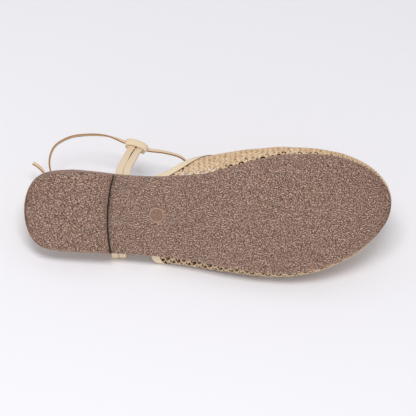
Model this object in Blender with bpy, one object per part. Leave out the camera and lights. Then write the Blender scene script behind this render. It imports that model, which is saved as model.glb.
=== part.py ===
"""A left braided sandal lying on its lateral side, modelled upright and then laid on the floor.

Modelling units are millimetres: x runs from the heel's back to the toe, y to the lateral side, z up from
the tread. The lying shoe is in metres with +Z up, its sole facing -Y and its toe towards +X.
"""

import math
from collections import namedtuple

import bmesh
import bpy
import numpy as np
from mathutils import Matrix, Vector

MM = 0.001
GAP = 0.3  # left between pieces that touch
WELD = 0.02  # corners closer than this are merged after a cut

# Sole, from a European size 38
SOLE_LENGTH = 250.0
OUTSOLE_THICK = 4.5
OUTSOLE_RIM = 0.8
OUTSOLE_TOP_RIM = 0.4
HEEL_LIFT = 5.0
HEEL_STEP = 0.5  # how far the heel lift stands in from the outsole
BREAST_ALONG = 57.0  # the heel breast's rearmost point
BREAST_ASIDE = 10.0
BREAST_BOW = 0.0043  # x gained for each square millimetre aside
BREAST_POINTS = 13
BREAST_CLEAR = 2.0  # the outline's own points stop this far behind the breast
INSOLE_THICK = 3.5
INSOLE_RIM = 0.9
OUTLINE_STATIONS = 38
BEND_STEP = 10.0  # between the cuts at which a slab bends

SoleSection = namedtuple("SoleSection", "along medial lateral")
SOLE_SECTIONS = (
    SoleSection(5.0, 18.7, 18.4),
    SoleSection(12.0, 25.0, 24.6),
    SoleSection(20.0, 27.2, 26.9),
    SoleSection(32.0, 27.8, 28.2),
    SoleSection(50.0, 26.0, 29.4),
    SoleSection(72.0, 23.0, 30.9),
    SoleSection(95.0, 21.8, 33.2),
    SoleSection(120.0, 23.0, 37.4),
    SoleSection(140.0, 27.4, 41.5),
    SoleSection(160.0, 32.4, 44.8),
    SoleSection(178.0, 35.2, 46.0),
    SoleSection(196.0, 35.3, 44.0),
    SoleSection(212.0, 33.2, 39.0),
    SoleSection(228.0, 27.6, 31.0),
    SoleSection(240.0, 19.8, 21.2),
    SoleSection(247.0, 11.0, 11.8),
)

# Height of the outsole's tread: the heel seat, the arch, the flat ball and the toe spring
TreadHeight = namedtuple("TreadHeight", "along height")
TREAD_HEIGHTS = (
    TreadHeight(0.0, HEEL_LIFT + GAP),
    TreadHeight(66.0, HEEL_LIFT + GAP),
    TreadHeight(100.0, 4.4),
    TreadHeight(130.0, 1.2),
    TreadHeight(150.0, 0.0),
    TreadHeight(190.0, 0.0),
    TreadHeight(212.0, 1.1),
    TreadHeight(232.0, 3.6),
    TreadHeight(250.0, 7.0),
)

# Woven vamp: an outer wall through sections of the foot, over and belly being how far it stands out past
# the sole's edge and how high above the outsole it does so
VampSection = namedtuple(
    "VampSection", "along crown ridge medial_over medial_belly lateral_over lateral_belly lateral_round"
)
VAMP_SECTIONS = (
    VampSection(85.0, 47.0, 1.0, 7.0, 18.0, 6.1, 8.0, 0.0),
    VampSection(120.0, 56.0, 1.0, 9.5, 20.0, 5.7, 8.0, 0.0),
    VampSection(145.0, 60.4, 1.5, 7.9, 16.0, 4.8, 9.0, 0.0),
    VampSection(165.0, 50.0, 1.2, 5.3, 12.0, 4.7, 10.0, 0.12),
    VampSection(185.0, 41.0, 1.0, 3.8, 10.0, 4.2, 10.0, 0.30),
    VampSection(208.0, 33.0, 1.0, 2.3, 9.0, 3.7, 9.0, 0.45),
)
RIDGE_END = 208.0  # beyond it the sections fan out round the toe
TOE_OVER = 1.4
MEDIAL_ROUND = 0.72  # weights of the sections' conics: 0.71 is an ellipse, 0 a straight flank
TOE_ROUND = 0.62
WALL = 2.0
STRIP_RELIEF = 0.7
FEATHER_INSET = 0.4  # of the wall's outside from the sole's edge
THROAT = 141.0
REAR_MEDIAL = 97.0
REAR_LATERAL = 91.0
COLLAR_POWER = 2.4
STRIP_PITCH = 8.7
STRIP_WIDTH = 6.4
STRIP_EDGE = 0.6  # rounding of a strip's border
SHEET_SIDE = 240.0
SHEET_MIDDLE = 166.0
CUT_MARGIN = 5.0
GAP_BAND = 18.0  # gaps are cut this close to the sole's edge
BINDING_WIDTH = 5.0
BINDING_PROUD = 0.4
BINDING_ROUND = 0.7  # radius of its free edge
BINDING_CROWN = 0.2
BINDING_STATIONS = 37
BINDING_FADE = 6  # power by which its inner side turns flush near the insole
PROFILE_STEPS = 24
COLLAR_POINTS = 33  # of the flat pattern's outline, as the next two
FLANK_POINTS = 17
TOE_POINTS = 23
SHARE_STEP = 0.01  # for slopes along the collar
SHEET_STEP = 0.4  # for the wall's normals

# Leather straps: each is two strands side by side, joined by a cow hitch round the lace
STRAND_WIDTH = 5.0
STRAND_THICK = 1.6
STRAND_SLIT = 0.3
SLIT_OPEN = 0.6  # more at the hitch
SLIT_POWER = 3
HITCH_WIDTH = 14.0  # along the lace
HITCH_TALL = 5.6  # of the loop's middle line round the lace, along and across the strap
HITCH_DEEP = 4.2
HITCH_POINTS = 14
HITCH_BAR = 5.6
BAR_OVERHANG = 0.5
BAR_DROP = 0.8  # below the lace's middle line
BAR_TURN = 0.46 * math.pi
BAR_FLATNESS = 0.4  # power of a cosine: 1 is round, 0 flat
BAR_STATIONS = 9
STRAND_STEP = 4.5
STRIP_CORNER = 0.3  # softened share of a flat strip's thickness
RoutePoint = namedtuple("RoutePoint", "x y z")
MEDIAL_STRAP = (
    RoutePoint(67.4, -22.4, 10.5),
    RoutePoint(67.6, -23.8, 14.0),
    RoutePoint(68.6, -27.0, 20.0),
    RoutePoint(71.5, -31.5, 30.0),
    RoutePoint(74.6, -35.8, 39.6),
    RoutePoint(76.2, -37.3, 43.7),
)
LATERAL_STRAP = (
    RoutePoint(63.5, 29.1, 10.6),
    RoutePoint(63.5, 31.2, 13.2),
    RoutePoint(63.5, 34.0, 17.2),
    RoutePoint(63.6, 28.5, 24.1),
    RoutePoint(63.8, 21.5, 32.6),
    RoutePoint(64.0, 14.5, 38.2),
    RoutePoint(64.0, 10.6, 40.4),
)

# Flat ankle lace: lean is how far its width tips towards the medial side, in degrees
LACE_WIDTH = 3.0
LACE_THICK = 1.2
LACE_STEP = 6.0
KNOT = Vector((25.0, -1.0, 47.5))
KNOT_RADIUS = 4.0
KNOT_FLATNESS = 0.8
LacePoint = namedtuple("LacePoint", "x y z lean")
MEDIAL_HITCH = LacePoint(76.6, -39.0, 46.0, 48.0)
LATERAL_HITCH = LacePoint(64.0, 8.5, 42.0, 38.0)
LACE_LOOP = (
    LacePoint(28.4, 1.6, 46.9, 30.0),
    LacePoint(33.0, 5.0, 46.0, 36.0),
    LacePoint(41.0, 7.6, 44.2, 38.0),
    LacePoint(52.0, 7.8, 42.6, 38.0),
    LATERAL_HITCH,
    LacePoint(76.0, 9.2, 42.6, 38.0),
    LacePoint(90.0, 8.6, 45.0, 30.0),
    LacePoint(102.0, 4.5, 48.0, 20.0),
    LacePoint(111.0, -3.5, 50.0, 10.0),
    LacePoint(115.0, -13.0, 50.5, 5.0),
    LacePoint(114.5, -22.0, 50.0, 12.0),
    LacePoint(109.3, -29.4, 48.5, 20.0),
    LacePoint(95.7, -34.6, 47.0, 25.0),
    LacePoint(85.1, -36.4, 46.3, 35.0),
    MEDIAL_HITCH,
    LacePoint(68.0, -42.6, 46.0, 30.0),
    LacePoint(57.5, -46.6, 46.3, -8.0),
    LacePoint(43.0, -47.8, 47.0, -24.0),
    LacePoint(29.0, -45.6, 47.6, -24.0),
    LacePoint(19.8, -39.8, 48.2, -20.0),
    LacePoint(16.0, -29.5, 48.6, -20.0),
    LacePoint(17.0, -21.5, 49.0, -10.0),
    LacePoint(20.8, -13.5, 49.2, 6.0),
    LacePoint(24.2, -5.2, 48.6, 10.0),
)
LONG_TAIL = (
    LacePoint(21.6, -3.4, 46.7, 10.0),
    LacePoint(16.5, -10.0, 46.8, 0.0),
    LacePoint(13.6, -17.0, 47.4, 0.0),
    LacePoint(12.2, -21.6, 47.8, 25.0),
    LacePoint(8.6, -26.2, 48.0, 35.0),
    LacePoint(4.6, -29.0, 48.0, 35.0),
)
SHORT_TAIL = (
    LacePoint(29.0, -2.5, 46.6, 32.0),
    LacePoint(34.0, -2.2, 48.0, 40.0),
    LacePoint(41.0, -0.6, 49.6, 42.0),
    LacePoint(48.0, 1.2, 51.0, 42.0),
    LacePoint(55.0, 2.6, 52.0, 42.0),
    LacePoint(60.0, 3.2, 52.2, 42.0),
)

# Lying on the lateral flank: the collar's binding, the ball's flank and the strap's hitch touch the floor
LEAN_BACK = 41.95
TOE_UP = 5.3

SMOOTH_BELOW = math.radians(35.0)  # sharper edges stay sharp in the shading


def curve_through(knots, values):
    """A smooth function through a table's column, which doesn't overshoot."""
    knots = np.array(knots, float)
    values = np.array(values, float)
    secants = np.diff(values) / np.diff(knots)
    before, after = secants[:-1], secants[1:]
    same_way = before * after > 0
    total = np.where(same_way, before + after, 1.0)
    inner = np.where(same_way, 2 * before * after / total, 0.0)
    slopes = np.concatenate(([secants[0]], inner, [secants[-1]]))

    def at(x):
        x = np.clip(x, knots[0], knots[-1])
        i = np.clip(np.searchsorted(knots, x) - 1, 0, len(knots) - 2)
        span = knots[i + 1] - knots[i]
        t = (x - knots[i]) / span
        rise = values[i + 1] - values[i]
        start, end = slopes[i] * span, slopes[i + 1] * span
        return values[i] + t * (start + t * (3 * rise - 2 * start - end + t * (start + end - 2 * rise)))

    return at


def column(rows, name):
    return [getattr(row, name) for row in rows]


def sole_angle(along):
    """Stations by angle, so that the round ends of the outline have finite slopes."""
    return np.arccos(np.clip(1 - 2 * np.asarray(along, float) / SOLE_LENGTH, -1, 1))


def half_width_curve(side):
    angles = [0.0, *sole_angle(column(SOLE_SECTIONS, "along")), math.pi]
    return curve_through(angles, [0.0, *column(SOLE_SECTIONS, side), 0.0])


medial_width = half_width_curve("medial")
lateral_width = half_width_curve("lateral")
tread_height = curve_through(column(TREAD_HEIGHTS, "along"), column(TREAD_HEIGHTS, "height"))
vamp_curve = {
    name: curve_through(column(VAMP_SECTIONS, "along"), column(VAMP_SECTIONS, name))
    for name in VampSection._fields[1:]
}


def outsole_top(along):
    return tread_height(along) + OUTSOLE_THICK


def outline(stations=OUTLINE_STATIONS):
    """The sole's edge as (x, y) rows, from the heel along the lateral side and back by the medial one."""
    angles = np.linspace(0, math.pi, stations + 1)
    along = SOLE_LENGTH / 2 * (1 - np.cos(angles))
    lateral = np.stack((along, lateral_width(angles)), axis=1)
    medial = np.stack((along, -medial_width(angles)), axis=1)
    return np.concatenate((lateral, medial[-2:0:-1]))


def inset(edge, distance):
    """The outline moved inwards along its own normals."""
    tangent = np.roll(edge, -1, axis=0) - np.roll(edge, 1, axis=0)
    tangent /= np.linalg.norm(tangent, axis=1)[:, None]
    inward = np.stack((tangent[:, 1], -tangent[:, 0]), axis=1)
    return edge + inward * distance


def new_object(name, bm, collection, material):
    """The finished bmesh, in millimetres, as an object of the given collection."""
    bmesh.ops.recalc_face_normals(bm, faces=bm.faces)
    if bm.calc_volume(signed=True) < 0:
        bmesh.ops.reverse_faces(bm, faces=bm.faces)
    bmesh.ops.scale(bm, vec=(MM, MM, MM), verts=bm.verts)
    mesh = bpy.data.meshes.new(name)
    bm.to_mesh(mesh)
    bm.free()
    mesh.materials.append(material)
    mesh.shade_smooth()
    mesh.set_sharp_from_angle(angle=SMOOTH_BELOW)
    made = bpy.data.objects.new(name, mesh)
    collection.objects.link(made)
    return made


def prism(edge, low, high):
    """A bmesh of a flat outline, extruded."""
    bm = bmesh.new()
    face = bm.faces.new([bm.verts.new((x, y, low)) for x, y in edge])
    grown = bmesh.ops.extrude_face_region(bm, geom=[face], use_keep_orig=True)
    top = [item for item in grown["geom"] if isinstance(item, bmesh.types.BMVert)]
    bmesh.ops.translate(bm, vec=(0, 0, high - low), verts=top)
    bmesh.ops.recalc_face_normals(bm, faces=bm.faces)
    return bm


def round_rim(bm, height, radius, segments):
    """Bevels the rim that lies at one height of a prism."""
    rim = [e for e in bm.edges if all(abs(v.co.z - height) < 1e-4 for v in e.verts)]
    bmesh.ops.bevel(
        bm, geom=rim, offset=radius, offset_type="OFFSET", segments=segments, profile=0.5,
        affect="EDGES", clamp_overlap=True, material=-1,
    )


def slab(edge, thickness, rims, under):
    """A sheet of one thickness, cut to an outline, its rims rounded, bent to lie on a height along x."""
    bm = prism(edge, 0.0, thickness)
    for height, radius, segments in rims:
        round_rim(bm, height, radius, segments)
    for along in np.arange(BEND_STEP, SOLE_LENGTH, BEND_STEP):
        bmesh.ops.bisect_plane(
            bm, geom=[*bm.verts, *bm.edges, *bm.faces], dist=1e-3, plane_co=(along, 0, 0), plane_no=(1, 0, 0)
        )
    for vert in bm.verts:
        vert.co.z += float(under(vert.co.x))
    bmesh.ops.triangulate(bm, faces=bm.faces)
    return bm


def breast_along(aside):
    return BREAST_ALONG + BREAST_BOW * (aside - BREAST_ASIDE) ** 2


def breast_corner(width, side):
    """Where the breast meets the lift's edge on one side, found by substituting back."""
    aside = 0.0
    for _ in range(8):
        aside = side * (float(width(sole_angle(breast_along(aside)))) - HEEL_STEP)
    return aside


def heel_edge():
    """The rear of the outline, closed by the bowed heel breast."""
    edge = inset(outline(), HEEL_STEP)
    rear = [point for point in edge if point[0] < breast_along(point[1]) - BREAST_CLEAR]
    lateral = [point for point in rear if point[1] > 0]
    medial = [point for point in rear if point[1] <= 0]
    asides = np.linspace(breast_corner(lateral_width, 1), breast_corner(medial_width, -1), BREAST_POINTS)
    breast = [(breast_along(aside), aside) for aside in asides]
    foremost = max(range(len(medial)), key=lambda i: medial[i][0])
    return [*lateral, *breast, *medial[foremost:]]


# Toe fan: the sole's edge seen from the ridge's end, by angle from straight ahead
toe_edge = outline(400)
toe_edge = toe_edge[toe_edge[:, 0] >= RIDGE_END - 1.0]
toe_ridge = float(vamp_curve["ridge"](RIDGE_END))
toe_angles = np.arctan2(toe_edge[:, 1] - toe_ridge, toe_edge[:, 0] - RIDGE_END)
toe_order = np.argsort(toe_angles)
toe_reaches = np.hypot(toe_edge[:, 1] - toe_ridge, toe_edge[:, 0] - RIDGE_END)


def wall_profile(reach, crown, over, belly, roundness):
    """Inner wall of one section, from crown to feather: arc lengths, distances from the ridge, heights."""
    foot = reach - FEATHER_INSET - STRIP_RELIEF - WALL
    widest = reach + over - STRIP_RELIEF - WALL
    top = crown - STRIP_RELIEF - WALL
    t = np.linspace(0, 1, PROFILE_STEPS)
    start, corner, end = (1 - t) ** 2, 2 * roundness * t * (1 - t), t**2
    total = start + corner + end
    upper_out = widest * (corner + end) / total
    upper_up = (top * (start + corner) + belly * end) / total
    drop = np.linspace(0, 1, PROFILE_STEPS // 2)[1:]
    out = np.concatenate((upper_out, widest - (widest - foot) * drop**2))
    up = np.concatenate((upper_up, belly * (1 - drop)))
    arc = np.concatenate(([0], np.cumsum(np.hypot(np.diff(out), np.diff(up)))))
    return arc, out, up


def side_profile(along, lateral):
    angle = sole_angle(along)
    ridge = vamp_curve["ridge"](along)
    reach = lateral_width(angle) - ridge if lateral else medial_width(angle) + ridge
    side = "lateral" if lateral else "medial"
    roundness = vamp_curve["lateral_round"](along) if lateral else MEDIAL_ROUND
    over, belly = vamp_curve[side + "_over"](along), vamp_curve[side + "_belly"](along)
    return wall_profile(reach, vamp_curve["crown"](along), over, belly, roundness)


def toe_profile(angle):
    ahead = math.cos(angle)
    side = "lateral" if angle > 0 else "medial"
    flank = vamp_curve["lateral_round"](RIDGE_END) if angle > 0 else MEDIAL_ROUND
    over = TOE_OVER + (vamp_curve[side + "_over"](RIDGE_END) - TOE_OVER) * (1 - ahead**2)
    belly = vamp_curve[side + "_belly"](RIDGE_END)
    reach = np.interp(angle, toe_angles[toe_order], toe_reaches[toe_order])
    roundness = flank + (TOE_ROUND - flank) * ahead
    return wall_profile(reach, vamp_curve["crown"](RIDGE_END), over, belly, roundness)


def inner_wall(flat_x, flat_y):
    """Where a point of the flat woven sheet lies on the foot: the ridge is laid straight along flat x."""
    if flat_x <= RIDGE_END:
        arc, out, up = side_profile(flat_x, flat_y >= 0)
        away = abs(flat_y)
        aside = math.copysign(np.interp(away, arc, out), flat_y)
        along, across = flat_x, vamp_curve["ridge"](flat_x) + aside
    else:
        angle = math.atan2(flat_y, flat_x - RIDGE_END)
        arc, out, up = toe_profile(angle)
        away = math.hypot(flat_y, flat_x - RIDGE_END)
        reach = np.interp(away, arc, out)
        along, across = RIDGE_END + reach * math.cos(angle), toe_ridge + reach * math.sin(angle)
    height = np.interp(away, arc, up)
    seat = outsole_top(along)
    if flat_x > RIDGE_END:
        spring = seat - outsole_top(RIDGE_END)
        seat -= spring * height / up[0]
    return Vector((float(along), float(across), float(seat + GAP + height)))


def on_last(flat_x, flat_y, height):
    """A point at some height above the inner wall; below the belly the wall thickens level with the sole."""
    along = inner_wall(flat_x + SHEET_STEP, flat_y) - inner_wall(flat_x - SHEET_STEP, flat_y)
    around = inner_wall(flat_x, flat_y + SHEET_STEP) - inner_wall(flat_x, flat_y - SHEET_STEP)
    normal = along.cross(around)
    normal.z = max(normal.z, 0.0)
    inside = inner_wall(flat_x, flat_y)
    point = inside + normal.normalized() * height
    point.z += float(outsole_top(point.x) - outsole_top(inside.x))
    return point


def girth(along, lateral):
    return side_profile(along, lateral)[0][-1]


def collar_along(share):
    """The throat's line: x at a share of the way from the ridge down to the sole, lateral positive."""
    if share > 0:
        square = 1 - (1 - share * share) ** 2  # the lateral line comes down square to the sole
        return THROAT - (THROAT - REAR_LATERAL) * square
    return THROAT - (THROAT - REAR_MEDIAL) * abs(share) ** COLLAR_POWER


def collar_flat(share, behind=0.0):
    """A point of the flat sheet's throat line, or of a line at some distance behind it."""
    along = collar_along(share)
    lateral = share > 0
    rise = collar_along(share + SHARE_STEP) - collar_along(share - SHARE_STEP)
    slope = rise / (2 * SHARE_STEP) / girth(along, lateral)
    along -= behind * math.sqrt(1 + slope * slope)
    return along, share * girth(along, lateral)


def vamp_pattern():
    """The flat outline to which the woven sheet is cut."""
    collar = [collar_flat(share) for share in np.linspace(-1, 1, COLLAR_POINTS)]
    lateral = [(x, girth(x, True)) for x in np.linspace(REAR_LATERAL, RIDGE_END, FLANK_POINTS)[1:]]
    toe = []
    for angle in np.linspace(math.pi / 2, -math.pi / 2, TOE_POINTS)[1:-1]:
        reach = toe_profile(angle)[0][-1]
        toe.append((RIDGE_END + reach * math.cos(angle), reach * math.sin(angle)))
    medial = [(x, -girth(x, False)) for x in np.linspace(RIDGE_END, REAR_MEDIAL, FLANK_POINTS)[:-1]]
    return [*collar, *lateral, *toe, *medial]


def edge_distance(point, pattern):
    """How far a point of the flat sheet is from the part of its outline that meets the sole."""
    return min(math.dist(point, corner) for corner in pattern[COLLAR_POINTS:])


def woven_sheet(pattern):
    """A flat sheet of diagonal strips, raised along the one on top at each crossing, with gaps near the edge."""
    count = 2 * int(SHEET_SIDE / STRIP_PITCH)
    bm = bmesh.new()
    bmesh.ops.create_grid(bm, x_segments=count, y_segments=count, size=count / 2)
    middle = Vector((SHEET_MIDDLE, 0.0, 0.0))
    faces = {}
    for face in bm.faces:
        low = min(face.verts, key=lambda v: v.co.x + v.co.y).co
        faces[round(low.x), round(low.y)] = face
    turn = Matrix.Rotation(math.pi / 4, 4, "Z")
    for vert in bm.verts:
        lines = [round(vert.co.x), round(vert.co.y)]
        placed = [(line // 2) * STRIP_PITCH + (line % 2) * STRIP_WIDTH for line in lines]
        vert.co = turn @ Vector((*placed, 0.0)) + middle
    drop, strips = [], []
    for (i, j), face in faces.items():
        if i % 2 == 0 and j % 2 == 0:
            ends = ((i + 1, j), (i - 1, j)) if (i + j) % 4 == 0 else ((i, j + 1), (i, j - 1))
            strips.append([face, *(faces[end] for end in ends if end in faces)])
        elif i % 2 == 1 and j % 2 == 1:
            at = face.calc_center_median()
            if edge_distance((at.x, at.y), pattern) < GAP_BAND:
                drop.append(face)
    bmesh.ops.delete(bm, geom=drop, context="FACES_ONLY")
    for strip in strips:
        bmesh.ops.dissolve_faces(bm, faces=strip)
    under = list(bm.faces)
    grown = bmesh.ops.extrude_face_region(bm, geom=under, use_keep_orig=True)
    top_verts = [item for item in grown["geom"] if isinstance(item, bmesh.types.BMVert)]
    top_faces = [item for item in grown["geom"] if isinstance(item, bmesh.types.BMFace)]
    bmesh.ops.translate(bm, vec=(0, 0, WALL), verts=top_verts)
    bmesh.ops.recalc_face_normals(bm, faces=bm.faces)
    raised = [face for face in top_faces if len(face.verts) > 4]
    bmesh.ops.inset_individual(
        bm, faces=raised, thickness=STRIP_EDGE, depth=STRIP_RELIEF, use_even_offset=True
    )
    slot = STRIP_PITCH - STRIP_WIDTH
    short = {e for face in raised for e in face.edges if e.calc_length() < slot}
    bmesh.ops.collapse(bm, edges=list(short))  # a strip's ends slope down under its neighbours
    return bm


def boolean(bodies, operation):
    """One bmesh from closed bmeshes, by exact Booleans of passing objects."""
    passing = []
    for number, body in enumerate(bodies):
        bmesh.ops.recalc_face_normals(body, faces=body.faces)
        mesh = bpy.data.meshes.new(f"passing_{number}")
        body.to_mesh(mesh)
        body.free()
        passing.append(bpy.data.objects.new(mesh.name, mesh))
        bpy.context.scene.collection.objects.link(passing[-1])
    for other in passing[1:]:
        step = passing[0].modifiers.new(other.name, "BOOLEAN")
        step.operation = operation
        step.solver = "EXACT"
        step.object = other
    evaluated = passing[0].evaluated_get(bpy.context.evaluated_depsgraph_get())
    result = bmesh.new()
    result.from_mesh(evaluated.to_mesh())
    for item in passing:
        mesh = item.data
        bpy.data.objects.remove(item)
        bpy.data.meshes.remove(mesh)
    bmesh.ops.remove_doubles(result, verts=result.verts, dist=WELD)
    bmesh.ops.dissolve_degenerate(result, edges=result.edges, dist=WELD)
    return result


def drop_offcuts(bm):
    """Deletes every loose scrap that a cut has left beside the largest body."""
    bodies = []
    seen = set()
    for start in bm.verts:
        if start in seen:
            continue
        body, waiting = [], [start]
        seen.add(start)
        while waiting:
            vert = waiting.pop()
            body.append(vert)
            for edge in vert.link_edges:
                other = edge.other_vert(vert)
                if other not in seen:
                    seen.add(other)
                    waiting.append(other)
        bodies.append(body)
    bodies.sort(key=len)
    for scrap in bodies[:-1]:
        bmesh.ops.delete(bm, geom=scrap, context="VERTS")


def woven_vamp():
    """The woven sheet, cut to its pattern and drawn over the foot."""
    pattern = vamp_pattern()
    bm = boolean([woven_sheet(pattern), prism(pattern, -CUT_MARGIN, WALL + CUT_MARGIN)], "INTERSECT")
    drop_offcuts(bm)
    bmesh.ops.triangulate(bm, faces=bm.faces)
    for vert in bm.verts:
        vert.co = on_last(*vert.co)
    return bm


def loft(rings, closed=False):
    """A closed body through rings of equally many points, capped at its ends unless it closes on itself."""
    bm = bmesh.new()
    loops = [[bm.verts.new(point) for point in ring] for ring in rings]
    pairs = list(zip(loops, loops[1:]))
    if closed:
        pairs.append((loops[-1], loops[0]))
    for one, two in pairs:
        for i in range(len(one)):
            j = (i + 1) % len(one)
            bm.faces.new((one[i], one[j], two[j], two[i]))
    if not closed:
        bm.faces.new(loops[0])
        bm.faces.new(loops[-1])
    bmesh.ops.triangulate(bm, faces=bm.faces)
    return bm


def collar_binding():
    """The leather band behind the throat line, thicker than the wall and rounded at its free edge."""
    full = WALL + STRIP_RELIEF + BINDING_PROUD
    rings = []
    middle, shoulder = BINDING_WIDTH / 2, BINDING_WIDTH - BINDING_ROUND
    for share in np.linspace(-1, 1, BINDING_STATIONS):
        low = BINDING_PROUD * (share**BINDING_FADE - 1)
        section = (
            (GAP, low), (GAP, full), (middle, full + BINDING_CROWN), (shoulder, full),
            (BINDING_WIDTH, full - BINDING_ROUND), (BINDING_WIDTH, low + BINDING_ROUND), (shoulder, low),
            (middle, low),
        )
        rings.append([on_last(*collar_flat(share, behind), height) for behind, height in section])
    return loft(rings)


def smooth_route(points, step):
    """Even points along a smooth curve through a route's points, in as many columns as they have."""
    points = np.array(points, float)
    chords = np.linalg.norm(np.diff(points[:, :3], axis=0), axis=1)
    knots = np.concatenate(([0], np.cumsum(chords)))
    slopes = np.gradient(points, knots, axis=0)
    count = max(int(round(knots[-1] / step)), 2)
    at = np.linspace(0, knots[-1], count + 1)
    i = np.clip(np.searchsorted(knots, at) - 1, 0, len(knots) - 2)
    span = (knots[i + 1] - knots[i])[:, None]
    t = (at[:, None] - knots[i][:, None]) / span
    rise = points[i + 1] - points[i]
    start, end = slopes[i] * span, slopes[i + 1] * span
    return points[i] + t * (start + t * (3 * rise - 2 * start - end + t * (start + end - 2 * rise)))


def strip_rings(path, widths, width, thick, asides=None, closed=False):
    """Rings of a flat strip with softened corners along a path, its width near the given directions."""
    path = [Vector(point[:3]) for point in path]
    asides = np.zeros(len(path)) if asides is None else asides
    last = len(path) - 1
    corner = STRIP_CORNER * thick
    rings = []
    for i, point in enumerate(path):
        after = path[(i + 1) % len(path)] if closed else path[min(i + 1, last)]
        before = path[i - 1] if closed else path[max(i - 1, 0)]
        ahead = (after - before).normalized()
        across = widths[i] - ahead * widths[i].dot(ahead)
        across.normalize()
        up = ahead.cross(across)
        half, rise = width / 2, thick / 2
        section = (
            (half, corner - rise), (half, rise - corner), (half - corner, rise), (corner - half, rise),
            (-half, rise - corner), (-half, corner - rise), (corner - half, -rise), (half - corner, -rise),
        )
        rings.append([point + across * (w + asides[i]) + up * h for w, h in section])
    return rings


def hitch_frame(hitch):
    """Directions at a hitch: along the lace, up along its width, and out from the foot."""
    loop = LACE_LOOP
    place = loop.index(hitch)
    along = (Vector(loop[place + 1][:3]) - Vector(loop[place - 1][:3])).normalized()
    lean = math.radians(hitch.lean)
    up = Vector((0.0, -math.sin(lean), math.cos(lean)))
    up = (up - along * up.dot(along)).normalized()
    out = along.cross(up)
    if out.y * hitch.y < 0:
        out = -out
    return along, up, out


def hitched_strap(route, hitch):
    """Two strands, the leather loop round the lace in which they end, and the bar across its front."""
    path = smooth_route(route, STRAND_STEP)
    forward = [Vector((1.0, 0.0, 0.0))] * len(path)
    shares = np.linspace(0, 1, len(path))
    shifts = (STRAND_WIDTH + STRAND_SLIT + SLIT_OPEN * shares**SLIT_POWER) / 2
    bodies = [
        loft(strip_rings(path, forward, STRAND_WIDTH, STRAND_THICK, side * shifts)) for side in (1, -1)
    ]
    along, up, out = hitch_frame(hitch)
    centre = Vector(hitch[:3])
    turns = np.linspace(0, 2 * math.pi, HITCH_POINTS, endpoint=False)
    loop = [
        centre + up * (HITCH_TALL / 2 * math.cos(a)) + out * (HITCH_DEEP / 2 * math.sin(a)) for a in turns
    ]
    loop_rings = strip_rings(loop, [along] * len(loop), HITCH_WIDTH, STRAND_THICK, closed=True)
    bodies.append(loft(loop_rings, closed=True))
    reach, front = HITCH_WIDTH / 2 + BAR_OVERHANG, HITCH_DEEP / 2 + STRAND_THICK
    bar = [
        centre + along * (reach * math.sin(a)) + out * (front * math.cos(a) ** BAR_FLATNESS) - up * BAR_DROP
        for a in np.linspace(-BAR_TURN, BAR_TURN, BAR_STATIONS)
    ]
    bodies.append(loft(strip_rings(bar, [up] * len(bar), HITCH_BAR, STRAND_THICK)))
    bm = boolean(bodies, "UNION")
    bmesh.ops.triangulate(bm, faces=bm.faces)
    return bm


def lace_strip(points):
    """A stretch of the flat lace along its route."""
    path = smooth_route(points, LACE_STEP)
    leans = np.radians(path[:, 3])
    widths = [Vector((0.0, -math.sin(lean), math.cos(lean))) for lean in leans]
    return loft(strip_rings(path, widths, LACE_WIDTH, LACE_THICK))


def lace_knot():
    """The tie's outer shape, which its ends meet."""
    bm = bmesh.new()
    bmesh.ops.create_uvsphere(bm, u_segments=12, v_segments=8, radius=KNOT_RADIUS)
    bmesh.ops.scale(bm, vec=(1.0, 1.0, KNOT_FLATNESS), verts=bm.verts)
    bmesh.ops.translate(bm, vec=KNOT, verts=bm.verts)
    return bm


def principled(name, colour, roughness):
    """A plain surface of one colour, given as sRGB bytes."""
    material = bpy.data.materials.new(name)
    material.use_nodes = True
    shader = material.node_tree.nodes["Principled BSDF"]
    linear = [((c / 255 + 0.055) / 1.055) ** 2.4 for c in colour]
    shader.inputs["Base Color"].default_value = (*linear, 1.0)
    shader.inputs["Roughness"].default_value = roughness
    shader.inputs["Metallic"].default_value = 0.0
    return material


def lay_down(pieces):
    """Parents the pieces to an empty that lays them on the floor, centred on the origin."""
    lying = bpy.data.objects.new("lying_shoe", None)
    bpy.context.scene.collection.objects.link(lying)
    lying.rotation_euler = (math.radians(-90 - LEAN_BACK), math.radians(-TOE_UP), 0.0)
    turn = lying.rotation_euler.to_matrix()
    solid = [piece for piece in pieces if not piece.name.startswith("lace")]
    corners = np.array([turn @ vert.co for piece in solid for vert in piece.data.vertices])
    low, high = corners.min(axis=0), corners.max(axis=0)
    lying.location = (-(low[0] + high[0]) / 2, -(low[1] + high[1]) / 2, -low[2])
    for piece in pieces:
        piece.parent = lying


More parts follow.
